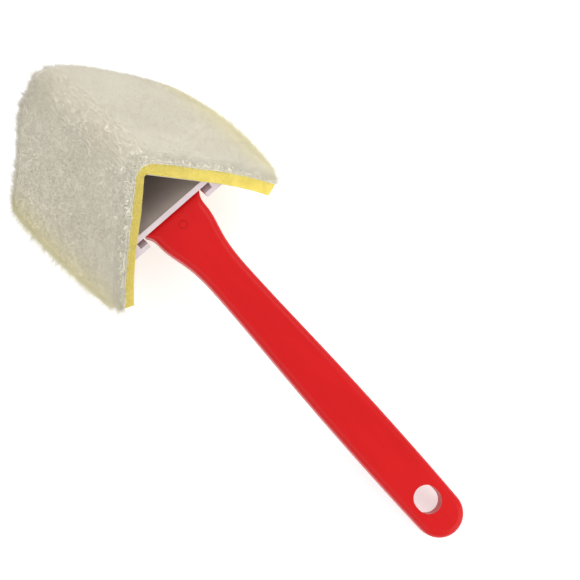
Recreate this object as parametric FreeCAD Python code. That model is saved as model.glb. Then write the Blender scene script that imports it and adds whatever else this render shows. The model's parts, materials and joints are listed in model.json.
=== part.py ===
import FreeCAD, Part
import math
import os
from FreeCAD import Vector

# Corner painting pad.  The head is an extruded carrier with two arms in a V, wrapped in a
# foam sheet and a nap fabric, and it slides along two rails on the foot of the handle.
# Head frame: X across the V, Y along the extrusion and away from the grip, Z towards the
# apex, with the origin on the back of the cross plate at the carrier's grip end.

# carrier
vee_angle = 73.0           # between the two arms
vee_inner_radius = 0.4     # inside the apex of the hollow
hollow_height = 27.8       # cross plate to the apex of the hollow
hollow_corner_radius = 0.6
arm_wall = 1.8
plate_thickness = 3.0
rail_wall = 1.8            # beside a rail where it meets the cross plate, measured across
rail_depth = 4.3           # cross plate to lip
lip_thickness = 3.1
lip_edge_radius = 0.5

# wrapping
film_thickness = 0.3
film_setback = 2.5         # from the ends of the arms and of the extrusion
foam_thickness = 5.4
backing_thickness = 0.5
pile_height = 5.0
pad_length = 108.0         # along the extrusion
pad_reach = 77.0           # along each arm, from the bend
pad_overhang = 2.0         # beyond the carrier at each end

# handle
handle_angle = 42.0        # between the grip and the cross plate
handle_length = 211.0
neck_flare = 2.3           # on each side, from the shoulders out to the neck
shoulder_width = 30.4
shoulder_at = 9.0
waist_width = 21.0
waist_at = 48.0
grip_width = 25.1
grip_at = 158.0
end_width = 24.2
grip_depth = 10.5
neck_depth = 13.0
edge_radius = 3.5
neck_roll_radius = 15.0    # where the face rolls down into the foot
underside_radius = 40.0    # where the back of the grip turns into the foot
shell_wall = 2.2
face_wall = 2.6
rib_thickness = 1.6
rib_count = 5
rib_setback = 1.5          # from the open rim
hang_hole_width = 13.2
hang_hole_length = 14.8
hang_hole_at = 21.6        # centre of the hole to the end of the grip
gate_mark_diameter = 4.6
gate_mark_groove = 0.5
gate_mark_depth = 0.2
gate_mark_at = 7.6

# foot of the handle, which runs in the rails
foot_length = 46.0
foot_setback = 6.0         # grip end of the carrier to the start of the flanges
foot_drop = 9.0            # cross plate to the bottom of the foot
rail_play = 0.2            # on every side of a flange
neck_play = 1.3            # from each side of the neck to the tip of a lip

half_angle = math.radians(vee_angle / 2)
carrier_radius = vee_inner_radius + arm_wall
bend_height = plate_thickness + hollow_height - vee_inner_radius
lip_bottom = -(rail_depth + lip_thickness)
carrier_length = pad_length - 2 * pad_overhang
film_radius = carrier_radius + film_thickness
foam_radius = film_radius + foam_thickness
backing_radius = foam_radius + backing_thickness
pile_radius = backing_radius + pile_height
slope = math.radians(handle_angle)
neck_width = shoulder_width + 2 * neck_flare
lip_gap = neck_width + 2 * neck_play


def arm_point(side, radius, reach):
    # a point on one arm of the V, at a radius from the bend and a reach along the arm
    across = radius * math.cos(half_angle) + reach * math.sin(half_angle)
    height = bend_height + radius * math.sin(half_angle) - reach * math.cos(half_angle)
    return Vector(side * across, 0, height)


def arm_across(radius, height):
    # how far out the arm's surface at this radius is, at a height
    return arm_point(1, radius, arm_reach(radius, height)).x


def arm_reach(radius, height):
    # how far along the arm its surface at this radius comes down to a height
    return (bend_height + radius * math.sin(half_angle) - height) / math.cos(half_angle)


def bend(radius):
    top = Vector(0, 0, bend_height + radius)
    return Part.Arc(arm_point(-1, radius, 0), top, arm_point(1, radius, 0)).toShape()


def lines(points):
    return [Part.makeLine(start, end) for start, end in zip(points[:-1], points[1:])]


def extrude(edges, start, length):
    wire = Part.Wire(Part.__sortEdges__(edges))
    wire.translate(Vector(0, start, 0))
    return Part.Face(wire).extrude(Vector(0, length, 0))


def bent_sheet(inner_radius, outer_radius, reach, start, length):
    # a sheet folded over the bend with two flat arms
    edges = [bend(inner_radius), bend(outer_radius)]
    for side in (-1, 1):
        edges += lines([arm_point(side, inner_radius, 0), arm_point(side, inner_radius, reach),
                        arm_point(side, outer_radius, reach), arm_point(side, outer_radius, 0)])
    return extrude(edges, start, length)


def make_carrier():
    rail_half = arm_across(carrier_radius, 0) - rail_wall
    outline = [bend(carrier_radius)]
    hollow = [bend(vee_inner_radius)]
    for side in (-1, 1):
        outline += lines([arm_point(side, carrier_radius, 0),
                          arm_point(side, carrier_radius, arm_reach(carrier_radius, lip_bottom)),
                          Vector(side * lip_gap / 2, 0, lip_bottom),
                          Vector(side * lip_gap / 2, 0, -rail_depth),
                          Vector(side * rail_half, 0, -rail_depth),
                          Vector(side * rail_half, 0, 0),
                          Vector(0, 0, 0)])
        hollow += lines([arm_point(side, vee_inner_radius, 0),
                         arm_point(side, vee_inner_radius, arm_reach(vee_inner_radius, plate_thickness)),
                         Vector(0, 0, plate_thickness)])
    tunnel = extrude(hollow, 0, carrier_length).removeSplitter()
    base_corners = long_edges(tunnel, arm_across(vee_inner_radius, plate_thickness), plate_thickness)
    tunnel = tunnel.makeFillet(hollow_corner_radius, base_corners)
    body = extrude(outline, 0, carrier_length).removeSplitter()
    lip_edges = long_edges(body, lip_gap / 2, lip_bottom) + long_edges(body, lip_gap / 2, -rail_depth)
    return body.makeFillet(lip_edge_radius, lip_edges).cut(tunnel)


def long_edges(shape, across, height):
    # the edges along the extrusion at one place in the section and its mirror
    found = []
    for edge in shape.Edges:
        ends = [vertex.Point for vertex in edge.Vertexes]
        if all(abs(abs(p.x) - across) < 1e-3 and abs(p.z - height) < 1e-3 for p in ends):
            found.append(edge)
    return found


# The handle has a frame of its own: Y towards the head, Z out of the face of the grip, with
# the origin where the face meets the cross plate.  to_grip takes a point from the head frame.
def to_grip(y, z):
    z += rail_play
    return Vector(0, y * math.cos(slope) + z * math.sin(slope), z * math.cos(slope) - y * math.sin(slope))


def plan_prism(inset, top, bottom):
    # the outline of the handle seen square to its face, drawn in by inset
    waist = waist_width / 2 - inset
    shoulder = shoulder_width / 2 - inset
    grip = grip_width / 2 - inset
    end = end_width / 2 - inset
    neck = neck_width / 2 - inset
    end_centre = handle_length - end_width / 2
    stations = [(0, neck), (0.4 * shoulder_at, shoulder + 0.2 * (neck - shoulder)), (shoulder_at, shoulder),
                ((shoulder_at + waist_at) / 2.4, (shoulder + waist) / 2.12), (waist_at, waist),
                ((waist_at + grip_at) / 2, (waist + 2.2 * grip) / 3.2), (grip_at, grip), (end_centre, end)]
    foot_end = to_grip(foot_length, 0).y + shell_wall
    edges = [Part.makeLine(Vector(-neck, foot_end, 0), Vector(neck, foot_end, 0)),
             Part.Arc(Vector(-end, -end_centre, 0), Vector(0, -end_centre - end, 0),
                      Vector(end, -end_centre, 0)).toShape()]
    for side in (-1, 1):
        curve = Part.BSplineCurve()
        curve.interpolate([Vector(side * half, -at, 0) for at, half in stations])
        edges += [curve.toShape(), Part.makeLine(Vector(side * neck, 0, 0), Vector(side * neck, foot_end, 0))]
    wire = Part.Wire(Part.__sortEdges__(edges))
    wire.translate(Vector(0, 0, top))
    return Part.Face(wire).extrude(Vector(0, 0, bottom - top))


def side_prism():
    # the outline of the handle and its foot seen from the side
    foot_bottom = to_grip(foot_length, -foot_drop)
    down_slope = Vector(0, math.cos(slope), -math.sin(slope))
    back_corner = foot_bottom - down_slope * ((-neck_depth - foot_bottom.z) / math.sin(slope))
    tangent = underside_radius * math.tan(slope / 2)
    grip_tilt = Vector(0, -handle_length - back_corner.y, neck_depth - grip_depth).normalize()
    bend_start = back_corner + grip_tilt * tangent
    bend_end = back_corner + down_slope * tangent
    middle = (grip_tilt + down_slope).normalize()
    bend_middle = back_corner + middle * (underside_radius * (1 / math.cos(slope / 2) - 1))
    edges = [Part.Arc(bend_start, bend_middle, bend_end).toShape()]
    edges += lines([bend_end, foot_bottom, to_grip(foot_length, -rail_play), Vector(0, 0, 0),
                    Vector(0, -handle_length, 0), Vector(0, -handle_length, -grip_depth), bend_start])
    wire = Part.Wire(Part.__sortEdges__(edges))
    wire.translate(Vector(-neck_width, 0, 0))
    return Part.Face(wire).extrude(Vector(2 * neck_width, 0, 0))


def neck_roll():
    # what is cut away so that the face rolls down to the top of the foot
    tangent = neck_roll_radius * math.tan(slope / 2)
    foot_way = Vector(0, math.cos(slope), -math.sin(slope))
    foot_up = Vector(0, math.sin(slope), math.cos(slope))
    middle = Vector(0, math.sin(slope / 2), math.cos(slope / 2))
    face_end = Vector(0, -tangent, 0)
    foot_start = foot_way * tangent
    arc_middle = middle * (neck_roll_radius * (1 - 1 / math.cos(slope / 2)))
    edges = [Part.Arc(face_end, arc_middle, foot_start).toShape()]
    edges += lines([foot_start, foot_start + foot_up, middle * 2, face_end + Vector(0, 0, 1), face_end])
    wire = Part.Wire(Part.__sortEdges__(edges))
    wire.translate(Vector(-neck_width, 0, 0))
    return Part.Face(wire).extrude(Vector(2 * neck_width, 0, 0))


def obround(width, length, centre_y, depth):
    half = (length - width) / 2
    slot = Part.makeBox(width, 2 * half, depth, Vector(-width / 2, centre_y - half, -depth))
    for end in (-half, half):
        slot = slot.fuse(Part.makeCylinder(width / 2, depth, Vector(0, centre_y + end, -depth)))
    return slot.removeSplitter()


def make_handle():
    deep = foot_length + foot_drop + neck_depth
    blank = plan_prism(0, 0, -deep).common(side_prism())
    face_edges = []
    for edge in blank.Edges:
        on_face = all(abs(v.Point.z) < 1e-3 for v in edge.Vertexes)
        along = any(v.Point.y < -1 for v in edge.Vertexes)
        if on_face and along and abs(edge.CenterOfMass.z) < 1e-3:
            face_edges.append(edge)
    blank = blank.makeFillet(edge_radius, face_edges).cut(neck_roll())

    # the open back: everything inside the walls, under the face and under the foot's top
    flange_thickness = rail_depth - 2 * rail_play
    under_foot = -rail_play - flange_thickness
    inside_rear = foot_length - shell_wall
    corner_y = (to_grip(0, under_foot).z + face_wall) / math.sin(slope) * math.cos(slope)
    corner = Vector(0, to_grip(0, under_foot).y + corner_y, -face_wall)
    edges = lines([Vector(0, -handle_length, -face_wall), corner, to_grip(inside_rear, under_foot),
                   to_grip(inside_rear, -deep), Vector(0, -handle_length, -deep),
                   Vector(0, -handle_length, -face_wall)])
    wire = Part.Wire(edges)
    wire.translate(Vector(-neck_width, 0, 0))
    cavity = Part.Face(wire).extrude(Vector(2 * neck_width, 0, 0)).common(plan_prism(shell_wall, 0, -deep))

    hole_y = hang_hole_at - handle_length
    ring = obround(hang_hole_width + 2 * shell_wall, hang_hole_length + 2 * shell_wall, hole_y, deep)
    hole = obround(hang_hole_width, hang_hole_length, hole_y, deep)

    # one rib along the middle into the wall of the hang hole, and cross ribs from the neck to it
    cavity = cavity.cut(ring)
    first = -waist_at / 2
    last = hole_y + hang_hole_length / 2 + shell_wall
    ribs = Part.makeBox(rib_thickness, deep - hole_y, deep, Vector(-rib_thickness / 2, hole_y, -deep))
    for index in range(rib_count):
        at = first + (last - first) * index / rib_count
        ribs = ribs.fuse(Part.makeBox(neck_width, rib_thickness, deep, Vector(-neck_width / 2, at, -deep)))
    kept_open = cavity.cut(ribs.common(blank.translated(Vector(0, 0, rib_setback))))
    handle = blank.cut(kept_open).cut(hole)

    mark = Part.makeCylinder(gate_mark_diameter / 2, gate_mark_depth, Vector(0, -gate_mark_at, -gate_mark_depth))
    centre = Part.makeCylinder(gate_mark_diameter / 2 - gate_mark_groove, gate_mark_depth,
                               Vector(0, -gate_mark_at, -gate_mark_depth))
    handle = handle.cut(mark.cut(centre))

    handle.rotate(Vector(0, 0, 0), Vector(1, 0, 0), handle_angle)
    handle.translate(Vector(0, 0, -rail_play))
    flange_half = arm_across(carrier_radius, 0) - rail_wall - rail_play
    flange = Part.makeBox(2 * flange_half, foot_length - foot_setback, flange_thickness,
                          Vector(-flange_half, foot_setback, under_foot))
    return handle.fuse(flange).removeSplitter()


def make_parts():
    film_reach = arm_reach(carrier_radius, lip_bottom) - film_setback
    film_length = carrier_length - 2 * film_setback
    return {
        "handle": make_handle(),
        "pad_carrier": make_carrier(),
        "adhesive_film": bent_sheet(carrier_radius, film_radius, film_reach, film_setback, film_length),
        "foam_pad": bent_sheet(film_radius, foam_radius, pad_reach, -pad_overhang, pad_length),
        "nap_backing": bent_sheet(foam_radius, backing_radius, pad_reach, -pad_overhang, pad_length),
        "nap_pile": bent_sheet(backing_radius, pile_radius, pad_reach, -pad_overhang, pad_length),
    }


def set_down(parts):
    # lay the tool on the table, on the end of the grip and the far tips of the two wings
    grip_y = grip_depth * math.sin(slope) - handle_length * math.cos(slope)
    grip_z = -rail_play - handle_length * math.sin(slope) - grip_depth * math.cos(slope)
    wing = arm_point(1, film_radius, pad_reach)
    tip_y = pad_length - pad_overhang
    tilt = math.degrees(math.atan2(wing.z - grip_z, tip_y - grip_y))
    for shape in parts.values():
        shape.rotate(Vector(0, 0, 0), Vector(1, 0, 0), -tilt)
    box = Part.makeCompound(list(parts.values())).optimalBoundingBox(False, False)
    for shape in parts.values():
        shape.translate(Vector(0, -(box.YMin + box.YMax) / 2, -box.ZMin))


def main():
    os.makedirs("parts", exist_ok=True)
    parts = make_parts()
    set_down(parts)
    for name, shape in parts.items():
        shape.exportStep("parts/" + name + ".step")


main()
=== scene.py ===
import json
import math
import bpy
import numpy as np
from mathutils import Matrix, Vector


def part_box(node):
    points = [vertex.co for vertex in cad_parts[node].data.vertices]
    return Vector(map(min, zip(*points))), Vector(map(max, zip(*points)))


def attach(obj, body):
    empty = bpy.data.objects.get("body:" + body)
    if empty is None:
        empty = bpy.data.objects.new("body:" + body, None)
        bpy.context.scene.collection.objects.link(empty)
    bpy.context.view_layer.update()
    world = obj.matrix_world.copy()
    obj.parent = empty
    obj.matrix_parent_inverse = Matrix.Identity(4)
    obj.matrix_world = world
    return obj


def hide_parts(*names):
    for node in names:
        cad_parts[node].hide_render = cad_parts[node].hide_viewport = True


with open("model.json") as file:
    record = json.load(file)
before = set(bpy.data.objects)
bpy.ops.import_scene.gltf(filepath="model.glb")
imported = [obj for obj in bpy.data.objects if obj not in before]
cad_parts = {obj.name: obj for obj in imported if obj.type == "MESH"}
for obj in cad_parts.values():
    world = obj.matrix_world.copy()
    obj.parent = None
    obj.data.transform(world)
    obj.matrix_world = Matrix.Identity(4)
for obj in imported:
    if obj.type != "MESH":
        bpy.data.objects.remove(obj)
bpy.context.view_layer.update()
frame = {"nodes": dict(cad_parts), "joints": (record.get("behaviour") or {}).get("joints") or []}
print("frame loaded")


def tint(red, green, blue):
    # a colour given from 0 to 255 as a screen shows it, in the linear light that a shader works in
    shown = np.array([red, green, blue]) / 255
    light = np.where(shown <= 0.04045, shown / 12.92, ((shown + 0.055) / 1.055) ** 2.4)
    return (*light.tolist(), 1.0)


class Wire:
    # An output socket.  Sums, differences and products of wires and numbers add Math nodes.
    def __init__(self, paint, socket):
        self.paint = paint
        self.socket = socket

    def combined(self, operation, first, second):
        return self.paint.node("Math", {"operation": operation}, {0: first, 1: second})

    def __add__(self, other):
        return self.combined("ADD", self, other)

    def __radd__(self, other):
        return self.combined("ADD", other, self)

    def __sub__(self, other):
        return self.combined("SUBTRACT", self, other)

    def __rsub__(self, other):
        return self.combined("SUBTRACT", other, self)

    def __mul__(self, other):
        return self.combined("MULTIPLY", self, other)


class Paint:
    # A material while it is being put together
    def __init__(self, name, **constants):
        self.material = bpy.data.materials.new(name)
        self.material.use_nodes = True
        self.tree = self.material.node_tree
        self.shader = self.tree.nodes["Principled BSDF"]
        self.feed(self.shader, {key.replace("_", " "): value for key, value in constants.items()})
        self.place = self.node("TexCoord", out="Object")

    def feed(self, node, values):
        for key, value in values.items():
            if isinstance(value, Wire):
                self.tree.links.new(value.socket, node.inputs[key])
            else:
                node.inputs[key].default_value = value

    def node(self, kind, settings=None, values=None, out=0):
        made = self.tree.nodes.new("ShaderNode" + kind)
        for key, value in (settings or {}).items():
            setattr(made, key, value)
        self.feed(made, values or {})
        return Wire(self, made.outputs[out])

    def noise(self, where, detail):
        return self.node("TexNoise", None, {"Vector": where, "Scale": 1.0, "Detail": detail})

    def cells(self, where):
        return self.node("TexVoronoi", None, {"Vector": where, "Scale": 1.0}, "Distance")

    def stretched(self, size, origin=(0, 0, 0), turn=(0, 0, 0)):
        # object coordinates about an origin, along turned axes, in steps of the sizes
        values = {"Vector": self.place, "Location": origin, "Rotation": turn, "Scale": size}
        return self.node("Mapping", {"vector_type": "TEXTURE"}, values)

    def between(self, value, low, high):
        # 0 at low and 1 at high, eased at both ends
        settings = {"interpolation_type": "SMOOTHSTEP"}
        return self.node("MapRange", settings, {"Value": value, "From Min": low, "From Max": high})

    def mixed(self, factor, first, second):
        return self.node("Mix", {"data_type": "RGBA"}, {0: factor, 6: first, 7: second}, 2)

    def held(self, name):
        return self.node("Attribute", {"attribute_name": name}, None, "Fac")

    def bumped(self, height, distance, strength=1.0):
        values = {"Height": height, "Distance": distance, "Strength": strength}
        return self.node("Bump", None, values)

    def finished(self, **links):
        self.feed(self.shader, {key.replace("_", " "): value for key, value in links.items()})
        return self.material


# The head's own frame, in metres: x across the V, y along its ridge and away from the grip, z towards the
# ridge, with the origin on the back of the cross plate.  Heights in the layers are
# measured from the fold's axis.
head = {
    "halfAngle": math.radians(36.5),
    "foldHeight": 0.0304,
    "filmInner": 0.0022,
    "foamInner": 0.0025,
    "foamOuter": 0.0079,
    "clothOuter": 0.0084,
    "pileOuter": 0.0134,
    "reach": 0.077,
    "ridgeStart": -0.002,
    "ridgeEnd": 0.106,
    "overhang": 0.002,
    "armEnd": 0.0487,
}
foldTurn = math.pi / 2 - head["halfAngle"]
foldLength = foldTurn * head["foamOuter"]
alongEnd = foldLength + head["reach"]
slideAxis = frame["joints"][0]["axis"]
tilt = math.atan2(slideAxis[2], -slideAxis[1])
foldSine, foldCosine = math.sin(head["halfAngle"]), math.cos(head["halfAngle"])
tipHeight = head["foldHeight"] + head["foamInner"] * foldSine - head["reach"] * foldCosine
pileTop = head["foldHeight"] + head["pileOuter"]
headOrigin = (
    0.0,
    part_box("nap_pile")[1].y - head["ridgeEnd"] * math.cos(tilt) - pileTop * math.sin(tilt),
    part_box("foam_pad")[0].z + head["ridgeEnd"] * math.sin(tilt) - tipHeight * math.cos(tilt),
)

# How the two wings have set, each value at the near edge, the middle and the far edge: how far the tip has
# moved out along the arm's normal, how much longer the arm is, and how far it has moved along the ridge
wings = {
    1: {
        "curl": (-0.0031, 0.0015, -0.003),
        "longer": (0.0016, 0.0058, 0.0016),
        "shift": (0.0005, 0.001, 0.002),
    },
    -1: {
        "curl": (-0.002, 0.0, 0.0028),
        "longer": (-0.0034, 0.0022, 0.0008),
        "shift": (0.0, 0.0015, 0.0064),
    },
}
rest = {"curlFrom": 0.040, "softHeight": 0.0015, "shiftOver": 0.015}

# How far the layers are pinched towards the inside at the near edge, by the way round the V from end to end
pinch = {
    "at": (-1.0, -0.5, -0.1, 0.04, 0.15, 1.0),
    "depth": (0.0008, 0.0013, 0.0019, 0.0011, 0.0003, 0.0002),
    "fade": 0.004,
}


def fromHead(x, y, z):
    # head frame to the world: turned by the tilt about x, then moved, and squeezed flat where it would go
    # below the table: under the soft height h, a height z becomes h times e to the power z / h - 1
    worldY = y * math.cos(tilt) + z * math.sin(tilt) + headOrigin[1]
    worldZ = z * math.cos(tilt) - y * math.sin(tilt) + headOrigin[2]
    soft = rest["softHeight"]
    worldZ = np.where(worldZ < soft, soft * np.exp(np.minimum(worldZ, soft) / soft - 1), worldZ)
    return np.stack([x + 0 * worldY, worldY, worldZ], -1)


def setOf(side, way, name):
    # a parabola through the near, middle and far values of each wing
    near, middle, far = (np.where(side > 0, wings[1][name][at], wings[-1][name][at]) for at in range(3))
    return near * (1 - way) * (1 - 2 * way) + middle * 4 * way * (1 - way) + far * way * (2 * way - 1)


def wrapped(along, across, radius):
    # The point that lies along metres round the V from its ridge, across metres along the ridge and radius
    # metres from the line that the pad folds about.  In the fold it turns by along / fold radius, and past it
    # it runs straight on.  A wing bends by its curl times the square of the way from curlFrom to its tip, and
    # the layers outside the inner one slide by their distance from it times the bend's slope.  At the sheet's
    # near edge they are pinched inwards, by a share that grows through the foam.
    side = np.where(along < 0, -1.0, 1.0)
    angle = np.minimum(np.abs(along) / head["foamOuter"], foldTurn)
    reach = np.maximum(np.abs(along) - foldLength, 0)
    way = (across - head["ridgeStart"]) / (head["ridgeEnd"] - head["ridgeStart"])
    span = head["reach"] - rest["curlFrom"]
    free = np.maximum(reach - rest["curlFrom"], 0) / span
    curl = setOf(side, way, "curl")
    longer = setOf(side, way, "longer") * (reach / head["reach"]) ** 2
    slid = (radius - head["foamInner"]) * 2 * curl * free / span
    shift = setOf(side, way, "shift") * np.minimum(reach / rest["shiftOver"], 1)
    outside = np.clip((radius - head["foamInner"]) / (head["foamOuter"] - head["foamInner"]), 0, 1)
    fade = np.exp(-np.maximum(across - head["ridgeStart"], 0) / pinch["fade"])
    pinched = np.interp(along / alongEnd, pinch["at"], pinch["depth"]) * outside * fade
    radius = radius - pinched
    reach = reach + longer - slid
    curl = curl * free ** 2
    x = side * (radius * np.sin(angle) + reach * foldSine + curl * foldCosine)
    z = head["foldHeight"] + radius * np.cos(angle) - reach * foldCosine + curl * foldSine
    return fromHead(x, across + shift, z)


def hashed(cells, seed):
    # a steady number from 0 to 1 for each whole-numbered cell
    value = cells[..., 0] * 73856093 ^ cells[..., 1] * 19349663 ^ cells[..., 2] * 83492791 ^ seed * 2654435761
    value = (value ^ (value >> 13)) * 1274126177
    value = (value ^ (value >> 15)) * 668265263
    return ((value ^ (value >> 17)) & 0xFFFFFF) / 0xFFFFFF


def rolling(points, size, seed):
    # smooth random heights from 0 to 1: the eight corners of each cell of this size, weighed by 3t^2 - 2t^3
    scaled = points / size
    corner = np.floor(scaled).astype(np.int64)
    part = scaled - corner
    part = part * part * (3 - 2 * part)
    total = 0
    for step in np.ndindex(2, 2, 2):
        weight = np.prod(np.where(np.array(step) > 0, part, 1 - part), -1)
        total = total + weight * hashed(corner + np.array(step), seed)
    return total


def pitted(points, size, seed):
    # the distance to the nearest of the points strewn one to a cell, in cells
    scaled = points / size
    corner = np.floor(scaled).astype(np.int64)
    nearest = np.full(len(points), 9.0)
    for step in np.ndindex(3, 3, 3):
        cell = corner + np.array(step) - 1
        jitter = np.stack([hashed(cell, seed + axis) for axis in range(3)], -1)
        nearest = np.minimum(nearest, np.linalg.norm(cell + jitter - scaled, axis=-1))
    return nearest


def slab(rows, columns, layers):
    # the skin of a block with these stations along its three axes: its points, the way out, and its faces
    shape = (len(rows), len(columns), len(layers))
    spot = np.stack(np.meshgrid(*map(np.arange, shape), indexing="ij"), -1)
    out = 1.0 * (spot == np.array(shape) - 1) - 1.0 * (spot == 0)
    skin = np.any(out != 0, -1)
    number = np.full(shape, -1)
    number[skin] = np.arange(skin.sum())
    faces = []
    for axis in range(3):
        for end in (0, -1):
            side = np.take(number, end, axis)
            quads = np.stack([side[:-1, :-1], side[1:, :-1], side[1:, 1:], side[:-1, 1:]], -1).reshape(-1, 4)
            inward = (end == 0) != (axis == 1)
            faces.append(quads[:, ::-1] if inward else quads)
    points = np.stack([rows[spot[skin][:, 0]], columns[spot[skin][:, 1]], layers[spot[skin][:, 2]]], -1)
    return points, out[skin], np.concatenate(faces)


def graded(start, end, fine, coarse, edge):
    # stations from start to end, fine within edge of both ends and coarse between
    near = np.linspace(start, start + edge, round(edge / fine), endpoint=False)
    middle = np.linspace(start + edge, end - edge, round((end - start - 2 * edge) / coarse), endpoint=False)
    far = np.linspace(end - edge, end, round(edge / fine) + 1)
    return np.concatenate([near, middle, far])


def addPiece(name, points, faces, material, held=None):
    mesh = bpy.data.meshes.new(name)
    mesh.from_pydata(points.tolist(), [], [face for block in faces for face in block.tolist()])
    mesh.shade_smooth()
    for key, values in (held or {}).items():
        store = mesh.attributes.new(key, "FLOAT", "POINT")
        store.data.foreach_set("value", values.astype(np.float32).ravel())
    mesh.materials.append(material)
    piece = bpy.data.objects.new(name, mesh)
    bpy.context.scene.collection.objects.link(piece)
    return piece


# The handle: red moulded plastic with flow marks, fine scratches and a ring left by the mould
handleAngle = math.radians(42)
gripTurn = (handleAngle - tilt, 0, 0)
handleLook = {
    "red": tint(190, 6, 9),
    "deep": tint(185, 4, 7),
    "light": tint(195, 10, 14),
    "swirlSize": (0.014, 0.05, 0.014),
    "swirlBand": (0.35, 0.65),
    "streakSize": (0.0012, 0.03, 0.0012),
    "streakBand": (0.45, 0.8),
    "streakShare": 0.35,
    "peelSize": 0.0009,
    "scratchSize": (0.0004, 0.012, 0.0004),
    "scratchBand": (0.62, 0.75),
    "markAt": (0.0, -0.0076, 0.0),
    "markRing": (0.0015, 0.0019, 0.0022, 0.0026),
    "markTint": tint(168, 0, 4),
    "markShare": 0.45,
    "rough": {"plain": 0.33, "swirl": 0.06, "streak": 0.03, "scuffed": 0.06, "mark": 0.1},
    "peelHeight": 0.4,
    "scuffDepth": 0.2,
    "bump": 0.00002,
    "coat": 0.06,
}


def handlePlastic():
    look = handleLook
    paint = Paint("handle_plastic", Specular_IOR_Level=0.18, Coat_Roughness=0.08, IOR=1.5)
    swirl = paint.noise(paint.stretched(look["swirlSize"], headOrigin, gripTurn), 3.0)
    streak = paint.noise(paint.stretched(look["streakSize"], headOrigin, gripTurn), 3.0)
    scratch = paint.noise(paint.stretched(look["scratchSize"], headOrigin, gripTurn), 2.0)
    peel = paint.noise(paint.stretched((look["peelSize"],) * 3), 1.0)
    colour = paint.mixed(paint.between(swirl, *look["swirlBand"]), look["deep"], look["red"])
    lit = paint.between(streak, *look["streakBand"]) * look["streakShare"]
    colour = paint.mixed(lit, colour, look["light"])
    scuffed = paint.between(scratch, *look["scratchBand"])
    inGrip = paint.stretched((1, 1, 1), headOrigin, gripTurn)
    flat = paint.node("VectorMath", {"operation": "MULTIPLY"}, {0: inGrip, 1: (1, 1, 0)})
    apart = paint.node("VectorMath", {"operation": "DISTANCE"}, {0: flat, 1: look["markAt"]}, "Value")
    ring = look["markRing"]
    mark = paint.between(apart, ring[0], ring[1]) * paint.between(apart, ring[3], ring[2])
    colour = paint.mixed(mark * look["markShare"], colour, look["markTint"])
    part = look["rough"]
    rough = part["plain"] + swirl * part["swirl"] + streak * part["streak"] + scuffed * part["scuffed"]
    height = peel * look["peelHeight"] + swirl - scuffed * look["scuffDepth"]
    return paint.finished(Base_Color=colour, Roughness=rough - mark * part["mark"], Coat_Weight=look["coat"],
                          Normal=paint.bumped(height, look["bump"]))


frame["nodes"]["handle"].data.materials.clear()
frame["nodes"]["handle"].data.materials.append(handlePlastic())
print("handle painted")


# The carrier: satin plastic with lines along the extrusion, saw marks on its two ends, and painted shade: a
# darker warm grey over the hollow
carrierLook = {
    "shell": tint(198, 188, 190),
    "shade": tint(184, 173, 175),
    "sawn": tint(200, 191, 194),
    # painted shade for the inside of the hollow
    "hollow": tint(172, 160, 150),
    "lineSize": (0.00035, 0.08, 0.00035),
    "broadSize": (0.004, 0.06, 0.004),
    "broadBand": (0.3, 0.7),
    "sawSize": (0.004, 0.0008, 0.00025),
    "sawnDepth": 0.0003,
    "sawnShare": (0.4, 0.6),
    "plateTop": 0.003,
    "plateEdge": 0.0006,
    "hollowShare": 0.85,
    "length": 0.104,
    "rough": {"plain": 0.34, "lines": 0.1, "sawn": 0.3},
    "sawHeight": 3.0,
    "bump": 0.00005,
}
headTurn = (-tilt, 0, 0)


def carrierPlastic():
    look = carrierLook
    paint = Paint("carrier_plastic", Specular_IOR_Level=0.5, IOR=1.49)
    lines = paint.noise(paint.stretched(look["lineSize"], headOrigin, headTurn), 3.0)
    broad = paint.noise(paint.stretched(look["broadSize"], headOrigin, headTurn), 2.0)
    saw = paint.noise(paint.stretched(look["sawSize"], headOrigin, headTurn), 2.0)
    inHead = paint.stretched((1, 1, 1), headOrigin, headTurn)
    along = paint.node("SeparateXYZ", None, {0: inHead}, "Y")
    middle = look["length"] / 2
    toEnd = paint.node("Math", {"operation": "ABSOLUTE"}, {0: along - middle})
    sawn = paint.between(toEnd, middle - look["sawnDepth"], middle - look["sawnDepth"] / 3)
    high = paint.node("SeparateXYZ", None, {0: inHead}, "Z")
    inside = paint.between(high, look["plateTop"] - look["plateEdge"], look["plateTop"])
    colour = paint.mixed(paint.between(broad, *look["broadBand"]), look["shade"], look["shell"])
    # painted shade: above the plate's top, inside the hollow, the plastic takes a darker warm grey
    colour = paint.mixed(inside * look["hollowShare"], colour, look["hollow"])
    colour = paint.mixed(sawn * (look["sawnShare"][0] + saw * look["sawnShare"][1]), colour, look["sawn"])
    part = look["rough"]
    rough = part["plain"] + lines * part["lines"] + sawn * part["sawn"]
    height = lines * (1 - sawn) + saw * sawn * look["sawHeight"]
    return paint.finished(Base_Color=colour, Roughness=rough, Normal=paint.bumped(height, look["bump"]))


frame["nodes"]["pad_carrier"].data.materials.clear()
frame["nodes"]["pad_carrier"].data.materials.append(carrierPlastic())
print("carrier painted")


# The glue between the carrier and the foam
glue = {
    "setback": 0.0025,
    "wander": 0.0012,
    "wanderSize": 0.006,
    "wanderSeed": 11,
    "step": 0.0012,
    "dull": tint(214, 200, 160),
    "clear": tint(236, 228, 204),
    "air": tint(250, 246, 234),
    "cloudSize": 0.004,
    "bubbleSize": 0.0011,
    "bubbleBand": (0.25, 0.1),
    "bubbleShare": 0.6,
    "rough": (0.25, 0.3),
    "bump": 0.0002,
}


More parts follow.
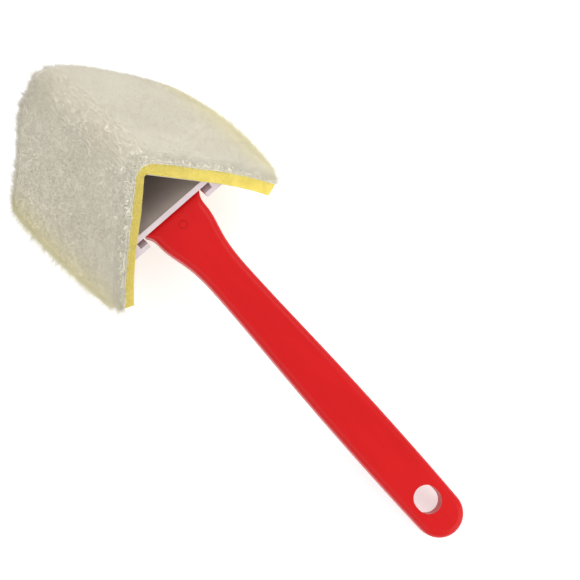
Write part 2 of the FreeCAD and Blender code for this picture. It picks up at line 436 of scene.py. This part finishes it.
def glueLook():
    paint = Paint("hot_melt", Specular_IOR_Level=0.5, IOR=1.48, Subsurface_Weight=0.2, Subsurface_Scale=0.002)
    cloud = paint.noise(paint.stretched((glue["cloudSize"],) * 3), 4.0)
    bubble = paint.between(paint.cells(paint.stretched((glue["bubbleSize"],) * 3)), *glue["bubbleBand"])
    colour = paint.mixed(cloud, glue["dull"], glue["clear"])
    colour = paint.mixed(bubble * glue["bubbleShare"], colour, glue["air"])
    return paint.finished(Base_Color=colour, Roughness=glue["rough"][0] + cloud * glue["rough"][1],
                          Normal=paint.bumped(cloud - bubble, glue["bump"]))


def makeGlue():
    # the film follows the arms, and its edges wander in by a smooth random amount
    end = foldLength + head["armEnd"] - glue["setback"]
    rows = np.linspace(-end, end, round(2 * end / glue["step"]))
    start = head["ridgeStart"] + head["overhang"] + glue["setback"]
    stop = head["ridgeEnd"] - head["overhang"] - glue["setback"]
    columns = np.linspace(start, stop, round((stop - start) / glue["step"]))
    points, out, faces = slab(rows, columns, np.array([head["filmInner"], head["foamInner"]]))
    wander = rolling(points * [1, 1, 0], glue["wanderSize"], glue["wanderSeed"]) * glue["wander"]
    points[:, :2] -= out[:, :2] * wander[:, None]
    return addPiece("glue_film", wrapped(*points.T), [faces], glueLook())


glueFilm = makeGlue()
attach(glueFilm, "pad_head")
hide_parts("adhesive_film")
print("glue made")


# The foam: a folded open-celled sheet, with painted shade that is darkest near the fold and over the wing at
# negative along, and fades out across the other wing.  The drape is how far its inside swells in past the
# carrier's ends: at the fold, one step from it and two steps from it, for the wing on each side.
foam = {
    "rowStep": 0.00036,
    "edgeStep": 0.0005,
    "middleStep": 0.0024,
    "edge": 0.005,
    "layers": 14,
    "poreSize": 0.0009,
    "poreReach": 0.55,
    "poreDepth": 0.00026,
    "poreSeed": 21,
    "innerShare": 0.4,
    "waveSize": 0.007,
    "waveDepth": 0.0002,
    "waveSeed": 22,
    "endGap": 0.0003,
    "drapeOver": 0.0014,
    "drapeStep": 0.02,
    "drape": {1: (0.0011, 0.0013, 0.0014), -1: (0.0011, 0.0014, 0.0004)},
    # painted shade: the share of the dull tint at places along the sheet
    "paintedShadeAt": (-1.0, -0.15, 0.1, 0.6, 1.0),
    "paintedShadeShare": (0.75, 0.9, 0.6, 0.15, 0.0),
    "bright": tint(232, 214, 112),
    "body": tint(217, 199, 97),
    "dull": tint(186, 171, 90),
    "pore": tint(160, 141, 52),
    "broadSize": 0.006,
    "broadBand": (0.3, 0.7),
    "bigSize": 0.0009,
    "bigBand": (0.3, 0.12),
    "bigShare": 0.5,
    "smallSize": 0.0005,
    "smallBand": (0.28, 0.1),
    "smallShare": 0.35,
    "holeShare": 0.7,
    "rough": (0.86, 0.1),
    "height": {"big": 0.6, "small": 0.4, "hole": 0.5},
    "bump": (0.0005, 0.8),
}


def foamLook():
    paint = Paint("foam", Specular_IOR_Level=0.15, Subsurface_Weight=0.5, Subsurface_Scale=0.004,
                  Subsurface_Radius=(1.0, 0.8, 0.25))
    big = paint.cells(paint.stretched((foam["bigSize"],) * 3))
    small = paint.cells(paint.stretched((foam["smallSize"],) * 3))
    broad = paint.noise(paint.stretched((foam["broadSize"],) * 3), 3.0)
    hole = (paint.between(big, *foam["bigBand"]) * foam["bigShare"]
            + paint.between(small, *foam["smallBand"]) * foam["smallShare"])
    colour = paint.mixed(paint.between(broad, *foam["broadBand"]), foam["body"], foam["bright"])
    # painted shade: the dull tint laid on by the held share, most on one wing
    colour = paint.mixed(paint.held("paintedShade"), colour, foam["dull"])
    colour = paint.mixed(hole * foam["holeShare"], colour, foam["pore"])
    part = foam["height"]
    height = big * part["big"] + small * part["small"] - hole * part["hole"]
    return paint.finished(Base_Color=colour, Roughness=foam["rough"][0] + broad * foam["rough"][1],
                          Normal=paint.bumped(height, *foam["bump"]))


def makeFoam():
    # The folded sheet, with round pits where its skin is nearer to a strewn point than a pore's reach.  Past
    # the ends of the carrier its inside swells in by the drape times 3t^2 - 2t^3.
    rows = np.linspace(-alongEnd, alongEnd, round(2 * alongEnd / foam["rowStep"]))
    ends = head["ridgeStart"], head["ridgeEnd"]
    columns = graded(*ends, foam["edgeStep"], foam["middleStep"], foam["edge"])
    layers = np.linspace(head["foamInner"], head["foamOuter"], foam["layers"])
    points, out, faces = slab(rows, columns, layers)
    along, across, radius = points.T
    nearness = 1 - pitted(points, foam["poreSize"], foam["poreSeed"]) / foam["poreReach"]
    pit = np.clip(nearness, 0, 1) * foam["poreDepth"]
    wave = rolling(points, foam["waveSize"], foam["waveSeed"]) * foam["waveDepth"]
    cut = out * [1, 1, 0]
    inner = out * [0, 0, 1] * (out[:, 2:] < 0)
    beyond = np.maximum(-across, across - carrierLook["length"]) - foam["endGap"]
    past = np.clip(beyond / foam["drapeOver"], 0, 1)
    step = np.clip((np.abs(along) - foldLength) / foam["drapeStep"], 0, 2)
    drape = np.where(along > 0, *(np.interp(step, (0, 1, 2), foam["drape"][side]) for side in (1, -1)))
    inward = (head["foamOuter"] - radius) / (head["foamOuter"] - head["foamInner"])
    moved = points - cut * (pit + wave)[:, None] - inner * pit[:, None] * foam["innerShare"]
    moved[:, 2] -= drape * past ** 2 * (3 - 2 * past) * inward
    # painted shade, darkest near the fold and over the wing at negative along
    paintedShade = np.interp(moved[:, 0] / alongEnd, foam["paintedShadeAt"], foam["paintedShadeShare"])
    return addPiece("foam_sheet", wrapped(*moved.T), [faces], foamLook(), {"paintedShade": paintedShade})


foamSheet = makeFoam()
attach(foamSheet, "pad_head")
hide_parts("foam_pad")
print("foam made")


# The woven cloth under the pile
cloth = {
    "step": 0.0012,
    "yarn": 0.0007,
    "fray": 0.0003,
    "fraySize": 0.0015,
    "fraySeed": 31,
    "under": tint(214, 204, 176),
    "over": tint(236, 228, 205),
    "fuzz": tint(244, 238, 222),
    "overBand": (-0.8, 0.8),
    "fuzzSize": 0.0004,
    "fuzzShare": 0.4,
    "rough": (0.85, 0.1),
    "overHeight": 0.5,
    "bump": 0.00006,
}


def clothLook():
    # over and under are the product of two sines, one along each way of the flat sheet
    paint = Paint("woven_backing", Specular_IOR_Level=0.2, Sheen_Weight=0.2)
    sheetPlace = paint.node("UVMap", {"uv_map": "flat"})
    parts = [paint.node("SeparateXYZ", None, {0: sheetPlace}, axis) for axis in ("X", "Y")]
    turns = 2 * math.pi / cloth["yarn"]
    waves = [paint.node("Math", {"operation": "SINE"}, {0: part * turns}) for part in parts]
    over = waves[0] * waves[1]
    fuzz = paint.noise(paint.stretched((cloth["fuzzSize"],) * 3), 3.0)
    colour = paint.mixed(paint.between(over, *cloth["overBand"]), cloth["under"], cloth["over"])
    colour = paint.mixed(fuzz * cloth["fuzzShare"], colour, cloth["fuzz"])
    return paint.finished(Base_Color=colour, Roughness=cloth["rough"][0] + fuzz * cloth["rough"][1],
                          Normal=paint.bumped(over * cloth["overHeight"] + fuzz, cloth["bump"]))


def makeCloth():
    # the folded sheet, frayed in by a smooth random amount at its cut edges
    rows = np.linspace(-alongEnd, alongEnd, round(2 * alongEnd / cloth["step"]))
    count = round((head["ridgeEnd"] - head["ridgeStart"]) / cloth["step"])
    columns = np.linspace(head["ridgeStart"], head["ridgeEnd"], count)
    points, out, faces = slab(rows, columns, np.array([head["foamOuter"], head["clothOuter"]]))
    fray = rolling(points, cloth["fraySize"], cloth["fraySeed"]) * cloth["fray"]
    points[:, :2] -= out[:, :2] * fray[:, None]
    piece = addPiece("backing_cloth", wrapped(*points.T), [faces], clothLook())
    flat = piece.data.uv_layers.new(name="flat")
    corner = np.empty(len(piece.data.loops), np.int32)
    piece.data.loops.foreach_get("vertex_index", corner)
    flat.data.foreach_set("uv", points[corner][:, :2].astype(np.float32).ravel())
    return piece


backingCloth = makeCloth()
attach(backingCloth, "pad_head")
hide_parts("nap_backing")
print("cloth made")


# The pile: a soft lumpy body, tufts that stand out of its top, and a fringe of fibres round its cut edges
pile = {
    "light": tint(252, 246, 227),
    "shade": tint(243, 234, 212),
    # painted light: a yellow glow for the wings' ends, standing in for light through the pile's edge
    "rim": tint(253, 243, 190),
    # white of the near edge: partly whiter fibres, partly painted light over the shade there
    "whiteAndPaintedLight": tint(255, 251, 234),
    # painted light: a near-white for the fringe's tips, against the shadow the body casts on them
    "fringePaintedLight": tint(252, 248, 232),
    "broadSize": 0.018,
    "broadBand": (0.3, 0.7),
    "clumpSize": 0.0022,
    "clumpBand": (0.3, 0.72),
    "shares": {"clump": 0.5, "broad": 0.5, "tip": 0.3, "tone": 0.1, "rim": 0.9, "fringe": 0.8},
    "tuftShade": 0.5,
    "fineSize": 0.0005,
    "fineHeight": 0.5,
    "rough": (0.9, 0.08),
    "bump": (0.0002, 0.3),
    "rimFade": 0.011,
    "rimPower": 1.5,
    "foldAt": -0.012,
    "foldFade": 0.02,
    "whiteAndLightFade": 0.004,
    "whiteAndLightShare": (0.6, 0.4),
}

body = {
    "step": 0.0012,
    "edgeStep": 0.0006,
    "edge": 0.004,
    "layers": 5,
    "top": 0.0121,
    "edgeRound": 0.0034,
    "ridgeDroop": 0.006,
    "ridgeBack": 0.0018,
    "ridgeFade": (0.014, 0.007),
    "cornerBack": 0.003,
    "nearBack": 0.0004,
    "edgeFade": 0.005,
    "lumpSize": 0.005,
    "lumpHeight": 0.0003,
    "lumpSeeds": (41, 42),
    "sideSize": 0.0012,
    "sideDepth": 0.0006,
    "sideSeed": 43,
}

outerFold = foldTurn * body["top"]


def pileLook(name, root):
    # the body, if root, or the tufts, which grow lighter towards their tips
    paint = Paint(name, Specular_IOR_Level=0.1, Sheen_Weight=0.2, Sheen_Roughness=0.6)
    share = pile["shares"]
    broad = paint.between(paint.noise(paint.stretched((pile["broadSize"],) * 3), 2.0), *pile["broadBand"])
    clump = paint.noise(paint.stretched((pile["clumpSize"],) * 3), 3.0)
    shade = paint.between(clump, *pile["clumpBand"]) * share["clump"] + broad * share["broad"]
    if not root:
        shade = shade * pile["tuftShade"] + paint.held("tip") * share["tip"]
        shade = shade + paint.held("tone") * share["tone"]
    colour = paint.mixed(shade, pile["shade"], pile["light"])
    # painted light: the yellow glow near the wings' ends
    colour = paint.mixed(paint.held("rim") * share["rim"], colour, pile["rim"])
    # the near edge's white: partly whiter fibres, partly painted light over its shade
    colour = paint.mixed(paint.held("whiteAndPaintedLight"), colour, pile["whiteAndPaintedLight"])
    if not root:
        # painted light: the fringe's tips lightened against the body's shadow
        outer = paint.held("fringe") * paint.held("tip")
        colour = paint.mixed(outer * share["fringe"], colour, pile["fringePaintedLight"])
    height = clump + paint.noise(paint.stretched((pile["fineSize"],) * 3), 2.0) * pile["fineHeight"]
    return paint.finished(Base_Color=colour, Roughness=pile["rough"][0] + clump * pile["rough"][1],
                          Normal=paint.bumped(height, *pile["bump"]))


def edgeGap(along, across):
    # how far a place is from the nearest cut edge of the sheet
    ridge = np.minimum(across - head["ridgeStart"], head["ridgeEnd"] - across)
    return np.minimum(ridge, alongEnd - np.abs(along))


def edgeGlowAndWhite(along, across):
    # The painted glow, yellow, along the wings' ends, standing in for light through the pile's edge, and the
    # white along the near edge, partly whiter fibres and partly painted light over the shade there.  At
    # distance d the glow is e to the power of -(d / its fade)^1.5, and the white e to the power of -d / its
    # fade, most near the fold.
    rim = np.exp(-((alongEnd - np.abs(along)) / pile["rimFade"]) ** pile["rimPower"])
    fold = np.exp(-((along - pile["foldAt"]) / pile["foldFade"]) ** 2)
    whiteAndPaintedLight = np.exp(-np.maximum(across - head["ridgeStart"], 0) / pile["whiteAndLightFade"])
    whiteAndPaintedLight = whiteAndPaintedLight * (pile["whiteAndLightShare"][0] + pile["whiteAndLightShare"][1] * fold)
    return rim * (1 - whiteAndPaintedLight), whiteAndPaintedLight


def pulled(points):
    # Where a point of the pile comes to lie: near a cut edge at distance d it drops by
    # e - sqrt(e^2 - (e - d)^2), a quarter circle of radius e.  The ridge's far end droops and draws back by a
    # bell's share, and the four corners and the near edge draw back too, all in step with the height in it.
    share = (points[:, 2] - head["clothOuter"]) / (body["top"] - head["clothOuter"])
    along, across = points[:, 0], points[:, 1]
    inside = np.clip(body["edgeRound"] - edgeGap(along, across), 0, body["edgeRound"])
    drop = body["edgeRound"] - np.sqrt(body["edgeRound"] ** 2 - inside ** 2)
    roundFold, fromEnd = body["ridgeFade"]
    bell = np.exp(-(along / roundFold) ** 2)
    bell = bell * np.exp(-np.maximum(head["ridgeEnd"] - across, 0) / fromEnd)
    endGap = np.exp(-(alongEnd - np.abs(along)) / body["edgeFade"])
    nearGap = np.exp(-(across - head["ridgeStart"]) / body["edgeFade"])
    farGap = np.exp(-(head["ridgeEnd"] - across) / body["edgeFade"])
    back = body["cornerBack"] * endGap * (nearGap + farGap)
    moved = points.copy()
    moved[:, 0] -= np.sign(along) * back * share
    moved[:, 1] += (back * np.where(nearGap > farGap, 1, -1) - body["ridgeBack"] * bell) * share
    moved[:, 1] += body["nearBack"] * nearGap * share
    moved[:, 2] -= (drop + body["ridgeDroop"] * bell) * share
    return moved


def makePileBody():
    # the folded sheet of pile, with lumps of two sizes, and sides that wander in
    rows = graded(-alongEnd, alongEnd, body["edgeStep"], body["step"], body["edge"])
    ends = head["ridgeStart"], head["ridgeEnd"]
    columns = graded(*ends, body["edgeStep"], body["step"], body["edge"])
    layers = np.linspace(head["clothOuter"], body["top"], body["layers"])
    points, out, faces = slab(rows, columns, layers)
    share = (points[:, 2] - head["clothOuter"]) / (body["top"] - head["clothOuter"])
    big, small = body["lumpSeeds"]
    lump = rolling(points, body["lumpSize"], big)
    lump = lump + 0.5 * rolling(points, body["lumpSize"] / 3, small) - 0.75
    rim, whiteAndPaintedLight = edgeGlowAndWhite(points[:, 0], points[:, 1])
    moved = pulled(points)
    moved[:, 2] += share * lump * body["lumpHeight"]
    wander = share * rolling(points, body["sideSize"], body["sideSeed"]) * body["sideDepth"]
    moved[:, :2] -= out[:, :2] * wander[:, None]
    held = {"rim": rim, "whiteAndPaintedLight": whiteAndPaintedLight}
    return addPiece("nap_body", wrapped(*moved.T), [faces], pileLook("pile", True), held)


# The tufts on top, and the fringe's fibres: one is as long as the shortest and a random part of this mean,
# which is cut off at the longest part.
tuft = {
    "seed": 7,
    "count": 112000,
    "groups": 9,
    "nearRow": 0.055,
    "nearDepth": 0.004,
    "sink": 0.0008,
    "length": 0.0021,
    "lengthSpread": (0.85, 1.15),
    "width": 0.00013,
    "widthSpread": (0.7, 1.4),
    "lengthened": {"far": 0.8, "near": -0.2, "fade": 0.0015, "farFrom": 0.005},
    "edgeFade": 0.0022,
    "nearLean": 0.9,
    "outLean": (0.5, 1.3),
    "lay": 0.35,
    "laySize": 0.02,
    "laySeeds": (51, 53),
    "swirl": 0.05,
    "swirlSize": 0.0024,
    "swirlSeeds": (52, 54),
    "stray": 0.14,
    "bend": 0.2,
    "faceOut": 0.45,
    "faceAlong": 0.15,
    "waist": 0.85,
    "whiteOnes": (0.06, 0.2),
    "tipShare": (0, 0.6, 1.0),
}

fringe = {
    "count": 42000,
    "nearShare": 0.2,
    "heights": (0.05, 0.85),
    "width": 0.00006,
    "shortest": 0.0008,
    "mean": 0.0023,
    "longestPart": 0.006,
    "nearLength": 0.45,
    "nearWithin": 0.0001,
    "clumpSize": 0.0016,
    "clumpSeed": 55,
    "clumpLength": (0.6, 0.8),
    "swirl": 0.8,
    "rise": (-0.1, 0.8),
}


def edgeRoots(random):
    # places strewn round the sheet's four cut edges, fewer of them on the near one
    count = fringe["count"]
    width, depth = 2 * alongEnd, head["ridgeEnd"] - head["ridgeStart"]
    onRidge = random.random(count) < width / (width + depth)
    near = random.random(count) < fringe["nearShare"]
    left = random.random(count) < 0.5
    along = random.uniform(-alongEnd, alongEnd, count)
    along = np.where(onRidge, along, np.where(left, -alongEnd, alongEnd))
    across = np.where(onRidge, np.where(near, head["ridgeStart"], head["ridgeEnd"]),
                      random.uniform(head["ridgeStart"], head["ridgeEnd"], count))
    share = random.uniform(*fringe["heights"], count)
    return np.stack([along, across, head["clothOuter"] + (body["top"] - head["clothOuter"]) * share], -1)


def topRoots(random):
    # places strewn evenly over the pile's top, with one share of them in a row along the near edge
    count = tuft["count"]
    depth = np.where(random.random(count) < tuft["nearRow"], tuft["nearDepth"],
                     head["ridgeEnd"] - head["ridgeStart"])
    way = random.uniform(-1, 1, count) * (outerFold + head["reach"])
    squeezed = np.minimum(np.abs(way), outerFold) * foldLength / outerFold
    along = np.sign(way) * (squeezed + np.maximum(np.abs(way) - outerFold, 0))
    across = head["ridgeStart"] + random.uniform(0, 1, count) * depth
    return np.stack([along, across, np.full(count, body["top"] - tuft["sink"])], -1)


def smoothPair(root, size, seeds):
    # a smooth random lean along the sheet and across it
    return np.stack([rolling(root, size, seed) - 0.5 for seed in seeds], -1)


def tuftSpines(random):
    # Root, middle and tip of every tuft.  It leans by a slow random lay, by a swirl, by its own chance, and
    # away from the sheet near a cut edge, and its upper half bends once more.
    root = np.concatenate([topRoots(random), edgeRoots(random)])
    count = len(root)
    onEdge = np.arange(count) >= tuft["count"]
    gap = edgeGap(root[:, 0], root[:, 1])
    fromNear = root[:, 1] - head["ridgeStart"]
    fromFar = head["ridgeEnd"] - root[:, 1]
    fromEnd = alongEnd - np.abs(root[:, 0])
    fade = tuft["edgeFade"]
    out = np.stack([np.sign(root[:, 0]) * np.exp(-fromEnd / fade),
                    np.exp(-fromFar / fade) - tuft["nearLean"] * np.exp(-fromNear / fade)], -1)
    lay = smoothPair(root, tuft["laySize"], tuft["laySeeds"])
    swirl = smoothPair(root, tuft["swirlSize"], tuft["swirlSeeds"])
    swirled = swirl * np.where(onEdge, fringe["swirl"], tuft["swirl"])[:, None]
    lean = lay * tuft["lay"] + swirled + random.normal(0, tuft["stray"], lay.shape)
    lean += out * random.uniform(*tuft["outLean"], (count, 1))
    lean[:, 0] *= np.where(np.abs(root[:, 0]) < foldLength, foldLength / outerFold, 1)
    least, more = fringe["clumpLength"]
    clump = least + more * rolling(root, fringe["clumpSize"], fringe["clumpSeed"])
    clump = clump * np.where(fromNear < fringe["nearWithin"], fringe["nearLength"], 1)
    loose = fringe["shortest"] + np.minimum(random.exponential(fringe["mean"], count), fringe["longestPart"])
    edge = tuft["lengthened"]
    grown = np.where(fromNear > edge["farFrom"], edge["far"], edge["near"]) * np.exp(-gap / edge["fade"])
    upright = tuft["length"] * random.uniform(*tuft["lengthSpread"], count) * (1 + grown)
    half = np.where(onEdge, loose * clump, upright)[:, None] * 0.5
    rise = np.where(onEdge, random.uniform(*fringe["rise"], count), 1.0)
    way = np.concatenate([lean, rise[:, None]], -1)
    way /= np.linalg.norm(way, axis=-1, keepdims=True)
    root = pulled(root)
    middle = root + way * half
    bent = way + np.concatenate([random.normal(0, tuft["bend"], lean.shape), np.zeros((count, 1))], -1)
    width = np.where(onEdge, fringe["width"], tuft["width"]) * random.uniform(*tuft["widthSpread"], count)
    facing = np.concatenate([out * tuft["faceOut"], np.ones((count, 1))], -1)
    return np.stack([root, middle, middle + bent * half]), width, facing, onEdge


def tuftMap(count):
    # The map's places for the corners of a piece's faces.  Each tuft has its own cell of a square grid, three
    # parts wide and high: its three sides as columns, the quads below the spike's sides, and the cap under
    # its root on top.
    across = math.ceil(math.sqrt(count))
    cell = np.stack([np.arange(count) % across, np.arange(count) // across], -1)[:, None, None]
    quadTop, spikeTop, capStart = 1.5, 2.6, 2.75
    quads = [[[side, 0], [side + 1, 0], [side + 1, quadTop], [side, quadTop]] for side in range(3)]
    spikes = [[[side, quadTop], [side + 1, quadTop], [side + 0.5, spikeTop]] for side in range(3)]
    cap = [[0, capStart], [3, capStart], [1.5, 3]]
    parts = [np.array(part) / 3 for part in (quads, [*spikes, cap])]
    margin = 0.05
    return np.concatenate([((cell + margin + (1 - 2 * margin) * part) / across).ravel() for part in parts])


def makeTufts():
    # A tuft is a three-sided spike on a bent spine: two rings, at its root and its middle, and a tip.  Its
    # shading normals face away from the sheet, turned a little along the tuft.
    random = np.random.default_rng(tuft["seed"])
    spine, width, facing, onEdge = tuftSpines(random)
    order = np.argsort(spine[0, :, 0])
    spine, width, facing, onEdge = spine[:, order], width[order], facing[order], onEdge[order]
    root = spine[0]
    count = len(root)
    places = [wrapped(*part.T) for part in spine]
    axis = places[1] - places[0]
    axis /= np.linalg.norm(axis, axis=-1, keepdims=True)
    nearby = 0.001
    upright = wrapped(*(root + facing * nearby).T) - places[0]
    upright = upright / np.linalg.norm(upright, axis=-1, keepdims=True) + axis * tuft["faceAlong"]
    first = np.cross(axis, random.normal(0, 1, axis.shape))
    first /= np.linalg.norm(first, axis=-1, keepdims=True)
    second = np.cross(axis, first)
    corners = []
    for centre, share in ((places[0], 1.0), (places[1], tuft["waist"])):
        for turn in (0, 2 * math.pi / 3, 4 * math.pi / 3):
            girth = width[:, None] * share
            corners.append(centre + girth * (first * math.cos(turn) + second * math.sin(turn)))
    points = np.stack([*corners, places[2]], 1)
    rim, whiteAndPaintedLight = edgeGlowAndWhite(root[:, 0], root[:, 1])
    chance, whiteness = tuft["whiteOnes"]
    # random white tufts join the near edge's white, which is partly painted light
    whiteAndPaintedLight = np.maximum(whiteAndPaintedLight, (random.random(count) < chance) * whiteness)
    held = {"tone": random.random(count), "rim": rim, "whiteAndPaintedLight": whiteAndPaintedLight, "fringe": onEdge * (1 - whiteAndPaintedLight)}
    atRoot, atMiddle, atTip = tuft["tipShare"]
    tip = np.array([atRoot] * 3 + [atMiddle] * 3 + [atTip])
    quads = np.array([[0, 1, 4, 3], [1, 2, 5, 4], [2, 0, 3, 5]])
    ends = np.array([[3, 4, 6], [4, 5, 6], [5, 3, 6], [2, 1, 0]])
    look = pileLook("pile_tufts", False)
    pieces = []
    for group, part in enumerate(np.array_split(np.arange(count), tuft["groups"])):
        start = len(tip) * np.arange(len(part))[:, None, None]
        own = {key: np.repeat(values[part], len(tip)) for key, values in held.items()}
        own["tip"] = np.tile(tip, len(part))
        faces = [(start + quads).reshape(-1, 4), (start + ends).reshape(-1, 3)]
        piece = addPiece("nap_tufts_%d" % (group + 1), points[part].reshape(-1, 3), faces, look, own)
        bakeMap = piece.data.uv_layers.new(name="OFBake")
        bakeMap.data.foreach_set("uv", tuftMap(len(part)).astype(np.float32))
        piece.data.normals_split_custom_set_from_vertices(np.repeat(upright[part], len(tip), 0).tolist())
        pieces.append(piece)
    return pieces


napBody = makePileBody()
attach(napBody, "pad_head")
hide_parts("nap_pile")
for piece in makeTufts():
    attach(piece, "pad_head")
print("pile made")


# The floor, the light and the camera
studio = {
    "floorHalf": 6.0,
    "floorTints": (tint(214, 214, 214), tint(220, 220, 220)),
    "floorGrain": 0.3,
    "glowTint": tint(255, 255, 255),
    "glow": 0.5,
    "sky": 0.75,
    "lamps": (
        ((0.8, 0.1, 1.1), 1.1, 8.0),
        ((-0.8, -0.3, 0.8), 1.0, 3.9),
        ((0.35, -1.0, 0.5), 0.9, 4.8),
    ),
    "eye": (-0.0631, -0.2203, 0.7268),
    "turn": (0.9203, 0.154, -0.0021, -0.3596),
    "view": math.radians(22.93),
}


def makeStudio():
    # each lamp is its place, its size and its power, and all aim 5 cm above the floor's middle
    corners = np.array([[-1, -1, 0], [1, -1, 0], [1, 1, 0], [-1, 1, 0]]) * studio["floorHalf"]
    paint = Paint("floor", Specular_IOR_Level=0.0, Roughness=1.0, Emission_Strength=studio["glow"],
                  Emission_Color=studio["glowTint"])
    grain = paint.noise(paint.stretched((studio["floorGrain"],) * 3), 2.0)
    colour = paint.mixed(grain, *studio["floorTints"])
    floor = addPiece("floor", corners, [np.array([[0, 1, 2, 3]])], paint.finished(Base_Color=colour))
    world = bpy.data.worlds.new("sky")
    world.use_nodes = True
    world.node_tree.nodes["Background"].inputs["Strength"].default_value = studio["sky"]
    world.node_tree.nodes["Background"].inputs["Color"].default_value = (1, 1, 1, 1)
    bpy.context.scene.world = world
    for number, (place, size, power) in enumerate(studio["lamps"]):
        lamp = bpy.data.lights.new("lamp_%d" % number, "AREA")
        lamp.size = size
        lamp.energy = power
        holder = bpy.data.objects.new(lamp.name, lamp)
        holder.location = place
        holder.rotation_mode = "QUATERNION"
        aim = Vector((0, 0, 0.05)) - Vector(place)
        holder.rotation_quaternion = aim.to_track_quat("-Z", "Y")
        bpy.context.scene.collection.objects.link(holder)
    eye = bpy.data.cameras.new("camera")
    eye.angle = studio["view"]
    camera = bpy.data.objects.new("camera", eye)
    camera.location = studio["eye"]
    camera.rotation_mode = "QUATERNION"
    camera.rotation_quaternion = studio["turn"]
    bpy.context.scene.collection.objects.link(camera)
    bpy.context.scene.camera = camera
    bpy.context.scene.view_settings.view_transform = "Standard"


makeStudio()
print("studio set")
